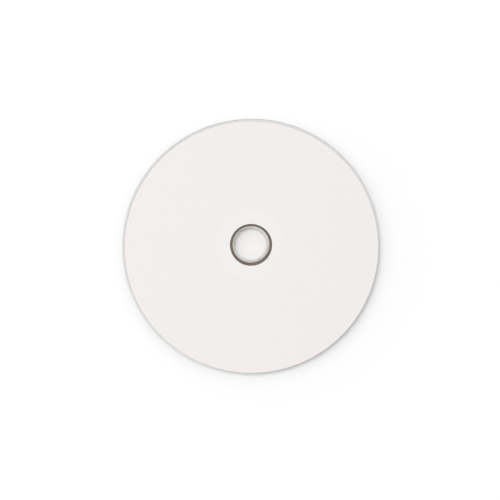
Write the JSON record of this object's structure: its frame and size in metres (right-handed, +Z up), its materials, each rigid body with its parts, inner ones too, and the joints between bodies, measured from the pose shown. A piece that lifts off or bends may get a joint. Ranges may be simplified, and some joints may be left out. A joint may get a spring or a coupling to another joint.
{
  "type": "compact disc",
  "caption": "Round clear plastic disc with a centre hole, a reflective recording layer and a matt white printable face.",
  "frame": {"origin": "centre of the hole, on the plane that the disc's stacking ring rests on", "axes": "+Z up along the disc's axis, out of the white printable face; X and Y lie in the disc's plane"},
  "size_m": [0.12, 0.12, 0.0015],
  "materials": {
    "clear_polycarbonate": "clear and glossy",
    "dye_on_silver": "mirror",
    "white_printable_coat": "matt"
  },
  "bodies": {
    "root": {"substrate": "clear_polycarbonate", "reflective_layer": "dye_on_silver", "printable_coat": "white_printable_coat"}
  },
  "joints": []
}
